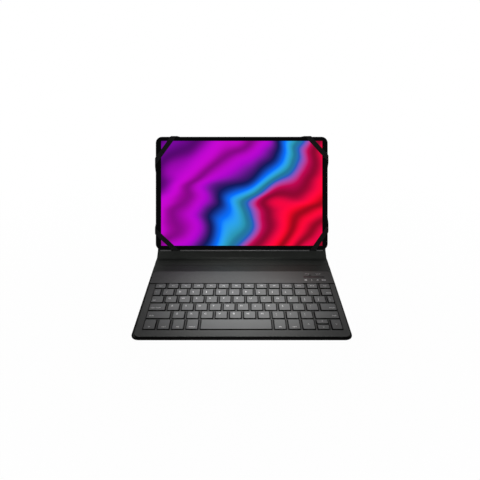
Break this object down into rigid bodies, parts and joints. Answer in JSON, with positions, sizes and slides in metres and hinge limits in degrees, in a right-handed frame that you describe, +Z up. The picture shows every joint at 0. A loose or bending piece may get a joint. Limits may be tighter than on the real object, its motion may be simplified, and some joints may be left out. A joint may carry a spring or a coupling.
{
  "type": "tablet keyboard case",
  "caption": "Folding leather tablet case standing open, with a slim lift-out keyboard, a leaning back panel with a kickstand and elastic corner straps round a tablet.",
  "frame": {"origin": "middle of the base leaf's underside, on the table", "axes": "+X to the user's right, +Y away from the user, +Z up"},
  "size_m": [0.254, 0.2738, 0.1677],
  "materials": {
    "leather": "black grained imitation leather, satin",
    "lining": "dark charcoal smooth imitation leather lining",
    "stiff_board": "plain grey stiffening board",
    "elastic": "black woven elastic",
    "ledge_plastic": "dark grey moulded plastic",
    "case_plastic": "dark grey fine-textured plastic",
    "key_plastic": "grey matte key plastic",
    "rubber": "soft translucent rubber",
    "white_plastic": "white moulded plastic",
    "membrane_film": "clear printed film",
    "steel": "bare steel",
    "magnet": "nickel plated",
    "circuit": "green solder mask",
    "battery_pouch": "laminated foil pouch",
    "window": "smoked gloss plastic",
    "led": "clear moulded lamp",
    "tablet_shell": "dark anodised",
    "screen_glass": "black-bordered cover glass",
    "screen_panel": "lit display"
  },
  "bodies": {
    "base": {"base_outer_cover": "leather", "base_board": "stiff_board", "base_lining": "lining", "base_magnets": "magnet"},
    "spine": {"spine_outer_cover": "leather", "spine_board": "stiff_board", "spine_lining": "lining", "base_fold_hinge": "leather", "panel_fold_hinge": "leather"},
    "back_panel": {"panel_outer_cover": "leather", "panel_board": "stiff_board", "panel_lining": "lining", "tablet_ledge": "ledge_plastic", "kickstand_hinge": "leather", "stay_ribbon": "elastic", "strap_top_left": "elastic", "strap_top_right": "elastic", "strap_bottom_left": "elastic", "strap_bottom_right": "elastic"},
    "kickstand": {"kickstand_inner_skin": "lining", "kickstand_board": "stiff_board", "kickstand_outer_skin": "leather"},
    "tablet": {"tablet_housing": "tablet_shell", "tablet_glass": "screen_glass", "tablet_display": "screen_panel", "tablet_battery": "battery_pouch", "tablet_circuit_board": "circuit"},
    "keyboard": {"keyboard_bottom_cover": "case_plastic", "keyboard_top_cover": "case_plastic", "cover_screws": "steel", "catch_plates": "steel", "key_support_plate": "steel", "key_membrane": "membrane_film", "rubber_domes": "rubber", "scissor_frames": "white_plastic", "main_circuit_board": "circuit", "charging_socket": "steel", "keyboard_battery": "battery_pouch", "indicator_window": "window", "indicator_leds": "led"},
    "power_switch": {"power_switch": "case_plastic"},
    "connect_button": {"connect_button": "case_plastic"},
    "left_modifier_keys": {"left_modifier_keys": "key_plastic"},
    "space_bar": {"space_bar": "key_plastic"},
    "right_modifier_keys": {"right_modifier_keys": "key_plastic"},
    "left_arrow_key": {"left_arrow_key": "key_plastic"},
    "up_arrow_key": {"up_arrow_key": "key_plastic"},
    "right_arrow_key": {"right_arrow_key": "key_plastic"},
    "down_arrow_key": {"down_arrow_key": "key_plastic"},
    "left_shift_key": {"left_shift_key": "key_plastic"},
    "z_row_keys": {"z_row_keys": "key_plastic"},
    "right_shift_key": {"right_shift_key": "key_plastic"},
    "caps_lock_key": {"caps_lock_key": "key_plastic"},
    "a_row_keys": {"a_row_keys": "key_plastic"},
    "enter_key": {"enter_key": "key_plastic"},
    "tab_key": {"tab_key": "key_plastic"},
    "q_row_keys": {"q_row_keys": "key_plastic"},
    "number_keys": {"number_keys": "key_plastic"},
    "backspace_key": {"backspace_key": "key_plastic"},
    "function_keys": {"function_keys": "key_plastic"}
  },
  "joints": [
    {"name": "base_spine_fold", "type": "hinge", "parent": "base", "child": "spine", "pos_m": [0, 0.087, 0.00035], "axis": [-1, 0, 0], "range_deg": [-90, 0], "deforming": ["base_fold_hinge"]},
    {"name": "back_panel_fold", "type": "hinge", "parent": "spine", "child": "back_panel", "pos_m": [0, 0.1055, 0.00035], "axis": [-1, 0, 0], "range_deg": [-26, 64], "deforming": ["panel_fold_hinge"]},
    {"name": "kickstand_swing", "type": "hinge", "parent": "back_panel", "child": "kickstand", "pos_m": [0, 0.15082, 0.08951], "axis": [-1, 0, 0], "range_deg": [0, 47.5], "deforming": ["stay_ribbon"]},
    {"name": "lift_tablet", "type": "slide", "parent": "back_panel", "child": "tablet", "axis": [0, -0.8988, 0.4384], "range_m": [0, 0.06], "deforming": ["strap_top_left", "strap_top_right", "strap_bottom_left", "strap_bottom_right"]},
    {"name": "keyboard_lift", "type": "slide", "parent": "base", "child": "keyboard", "axis": [0, 0, 1], "range_m": [0, 0.05]},
    {"name": "power_switch_slide", "type": "slide", "parent": "keyboard", "child": "power_switch", "axis": [1, 0, 0], "range_m": [0, 0.003]},
    {"name": "press_connect_button", "type": "slide", "parent": "keyboard", "child": "connect_button", "axis": [0, 0, -1], "range_m": [0, 0.0004], "stiffness_N_per_m": 600, "springref_m": -0.0004},
    {"name": "press_a_row_keys", "type": "slide", "parent": "keyboard", "child": "a_row_keys", "axis": [0, 0, -1], "range_m": [0, 0.00125], "stiffness_N_per_m": 1326.6, "springref_m": -0.0006, "deforming": ["rubber_domes", "scissor_frames"]},
    {"name": "press_backspace_key", "type": "slide", "parent": "keyboard", "child": "backspace_key", "axis": [0, 0, -1], "range_m": [0, 0.00125], "stiffness_N_per_m": 400, "springref_m": -0.0006, "deforming": ["rubber_domes", "scissor_frames"]},
    {"name": "press_caps_lock_key", "type": "slide", "parent": "keyboard", "child": "caps_lock_key", "axis": [0, 0, -1], "range_m": [0, 0.00125], "stiffness_N_per_m": 400, "springref_m": -0.0006, "deforming": ["rubber_domes", "scissor_frames"]},
    {"name": "press_down_arrow_key", "type": "slide", "parent": "keyboard", "child": "down_arrow_key", "axis": [0, 0, -1], "range_m": [0, 0.00125], "stiffness_N_per_m": 400, "springref_m": -0.0006, "deforming": ["rubber_domes", "scissor_frames"]},
    {"name": "press_enter_key", "type": "slide", "parent": "keyboard", "child": "enter_key", "axis": [0, 0, -1], "range_m": [0, 0.00125], "stiffness_N_per_m": 400, "springref_m": -0.0006, "deforming": ["rubber_domes", "scissor_frames"]},
    {"name": "press_function_keys", "type": "slide", "parent": "keyboard", "child": "function_keys", "axis": [0, 0, -1], "range_m": [0, 0.00125], "stiffness_N_per_m": 1496.7, "springref_m": -0.0006, "deforming": ["rubber_domes", "scissor_frames"]},
    {"name": "press_left_arrow_key", "type": "slide", "parent": "keyboard", "child": "left_arrow_key", "axis": [0, 0, -1], "range_m": [0, 0.00125], "stiffness_N_per_m": 400, "springref_m": -0.0006, "deforming": ["rubber_domes", "scissor_frames"]},
    {"name": "press_left_modifier_keys", "type": "slide", "parent": "keyboard", "child": "left_modifier_keys", "axis": [0, 0, -1], "range_m": [0, 0.00125], "stiffness_N_per_m": 800, "springref_m": -0.0006, "deforming": ["rubber_domes", "scissor_frames"]},
    {"name": "press_left_shift_key", "type": "slide", "parent": "keyboard", "child": "left_shift_key", "axis": [0, 0, -1], "range_m": [0, 0.00125], "stiffness_N_per_m": 400, "springref_m": -0.0006, "deforming": ["rubber_domes", "scissor_frames"]},
    {"name": "press_number_keys", "type": "slide", "parent": "keyboard", "child": "number_keys", "axis": [0, 0, -1], "range_m": [0, 0.00125], "stiffness_N_per_m": 1442.2, "springref_m": -0.0006, "deforming": ["rubber_domes", "scissor_frames"]},
    {"name": "press_q_row_keys", "type": "slide", "parent": "keyboard", "child": "q_row_keys", "axis": [0, 0, -1], "range_m": [0, 0.00125], "stiffness_N_per_m": 1442.2, "springref_m": -0.0006, "deforming": ["rubber_domes", "scissor_frames"]},
    {"name": "press_right_arrow_key", "type": "slide", "parent": "keyboard", "child": "right_arrow_key", "axis": [0, 0, -1], "range_m": [0, 0.00125], "stiffness_N_per_m": 400, "springref_m": -0.0006, "deforming": ["rubber_domes", "scissor_frames"]},
    {"name": "press_right_modifier_keys", "type": "slide", "parent": "keyboard", "child": "right_modifier_keys", "axis": [0, 0, -1], "range_m": [0, 0.00125], "stiffness_N_per_m": 565.69, "springref_m": -0.0006, "deforming": ["rubber_domes", "scissor_frames"]},
    {"name": "press_right_shift_key", "type": "slide", "parent": "keyboard", "child": "right_shift_key", "axis": [0, 0, -1], "range_m": [0, 0.00125], "stiffness_N_per_m": 400, "springref_m": -0.0006, "deforming": ["rubber_domes", "scissor_frames"]},
    {"name": "press_space_bar", "type": "slide", "parent": "keyboard", "child": "space_bar", "axis": [0, 0, -1], "range_m": [0, 0.00125], "stiffness_N_per_m": 400, "springref_m": -0.0006, "deforming": ["rubber_domes", "scissor_frames"]},
    {"name": "press_tab_key", "type": "slide", "parent": "keyboard", "child": "tab_key", "axis": [0, 0, -1], "range_m": [0, 0.00125], "stiffness_N_per_m": 400, "springref_m": -0.0006, "deforming": ["rubber_domes", "scissor_frames"]},
    {"name": "press_up_arrow_key", "type": "slide", "parent": "keyboard", "child": "up_arrow_key", "axis": [0, 0, -1], "range_m": [0, 0.00125], "stiffness_N_per_m": 400, "springref_m": -0.0006, "deforming": ["rubber_domes", "scissor_frames"]},
    {"name": "press_z_row_keys", "type": "slide", "parent": "keyboard", "child": "z_row_keys", "axis": [0, 0, -1], "range_m": [0, 0.00125], "stiffness_N_per_m": 1264.9, "springref_m": -0.0006, "deforming": ["rubber_domes", "scissor_frames"]}
  ]
}
